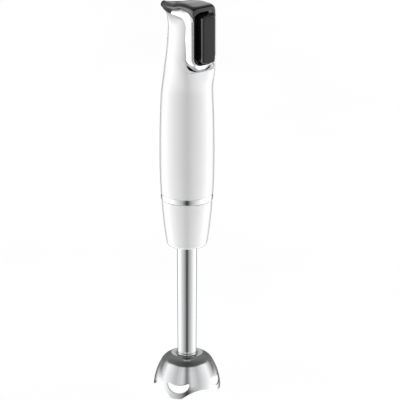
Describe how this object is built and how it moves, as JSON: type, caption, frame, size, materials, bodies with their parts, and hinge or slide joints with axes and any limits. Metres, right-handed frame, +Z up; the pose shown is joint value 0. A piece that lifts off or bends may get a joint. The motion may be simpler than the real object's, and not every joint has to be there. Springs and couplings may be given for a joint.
{
  "type": "immersion blender",
  "caption": "Hand-held stick blender: white motor handle with a push trigger, detachable steel foot, lobed bell guard with curved slots and a winged blade.",
  "frame": {"origin": "on the drive axis, at the plane that the bell's two long lobes stand on", "axes": "+Z up the drive axis to the cap, -Y to the front where the trigger is, +X to the side"},
  "size_m": [0.0658, 0.0798, 0.41],
  "materials": {
    "white_gloss": "glossy moulded white",
    "chrome": "bright plated",
    "black_gloss": "piano black gloss",
    "soft_touch": "matt soft touch",
    "black_rubber": "matt black",
    "polished_steel": "polished stainless",
    "bright_steel": "ground steel",
    "cast_aluminium": "as cast",
    "lamination_steel": "stacked laminations",
    "copper_wire": "enamelled copper",
    "holder_brass": "drawn brass",
    "bronze": "sintered bronze",
    "carbon": "pressed carbon",
    "nylon": "natural nylon",
    "black_nylon": "moulded black nylon",
    "circuit_board": "green solder mask",
    "board_component": "dipped component"
  },
  "bodies": {
    "handle": {"handle_shell": "white_gloss", "chrome_bezel": "chrome", "top_cap": "black_gloss", "front_panel": "black_gloss", "cord_bush": "black_rubber", "decor_ring": "chrome", "coupling_socket": "white_gloss", "socket_screws": "bright_steel", "motor_damper": "black_rubber", "lower_bracket": "cast_aluminium", "lower_bearing": "bright_steel", "stator_core": "lamination_steel", "field_coils": "copper_wire", "upper_bracket": "cast_aluminium", "upper_bearing": "bright_steel", "brush_holders": "holder_brass", "carbon_brushes": "carbon", "brush_springs": "bright_steel", "motor_screws": "bright_steel", "control_board": "circuit_board", "board_parts": "board_component", "speed_switch": "black_nylon", "trigger_pin": "bright_steel", "trigger_spring": "bright_steel", "cord_clamp": "nylon", "clamp_screws": "bright_steel"},
    "trigger": {"trigger": "black_gloss", "trigger_pad": "soft_touch"},
    "plunger": {"switch_plunger": "white_gloss"},
    "rotor": {"motor_shaft": "bright_steel", "rotor_core": "lamination_steel", "rotor_windings": "copper_wire", "commutator": "copper_wire", "cooling_fan": "nylon", "drive_dog": "black_nylon"},
    "foot": {"foot_shell": "white_gloss", "foot_hub": "white_gloss", "shaft_tube": "polished_steel", "bell": "polished_steel", "upper_bush": "bronze", "middle_bush": "nylon", "lower_bush": "bronze", "shaft_seal": "black_rubber"},
    "drive": {"drive_shaft": "bright_steel", "foot_dog": "black_nylon", "thrust_washer": "nylon", "retaining_ring": "bright_steel", "blade_hub": "polished_steel", "blade": "polished_steel", "blade_nut": "polished_steel"}
  },
  "joints": [
    {"name": "trigger_press", "type": "hinge", "parent": "handle", "child": "trigger", "pos_m": [0, -0.022, 0.396], "axis": [1, 0, 0], "range_deg": [0, 5], "stiffness_Nm_per_rad": 1.2, "springref_deg": -3.44},
    {"name": "switch_travel", "type": "slide", "parent": "handle", "child": "plunger", "axis": [0, 1, 0], "range_m": [0, 0.0028]},
    {"name": "motor_spin", "type": "hinge", "parent": "handle", "child": "rotor", "pos_m": [0, 0, 0.26], "axis": [0, 0, 1], "continuous": true},
    {"name": "foot_release", "type": "slide", "parent": "handle", "child": "foot", "axis": [0, 0, -1], "range_m": [0, 0.06]},
    {"name": "blade_spin", "type": "hinge", "parent": "foot", "child": "drive", "pos_m": [0, 0, 0.1], "axis": [0, 0, 1], "continuous": true}
  ],
  "couplings": [
    {"joint": "switch_travel", "follows": "trigger_press", "m_per_rad": 0.029},
    {"joint": "blade_spin", "follows": "motor_spin", "ratio": 1}
  ]
}
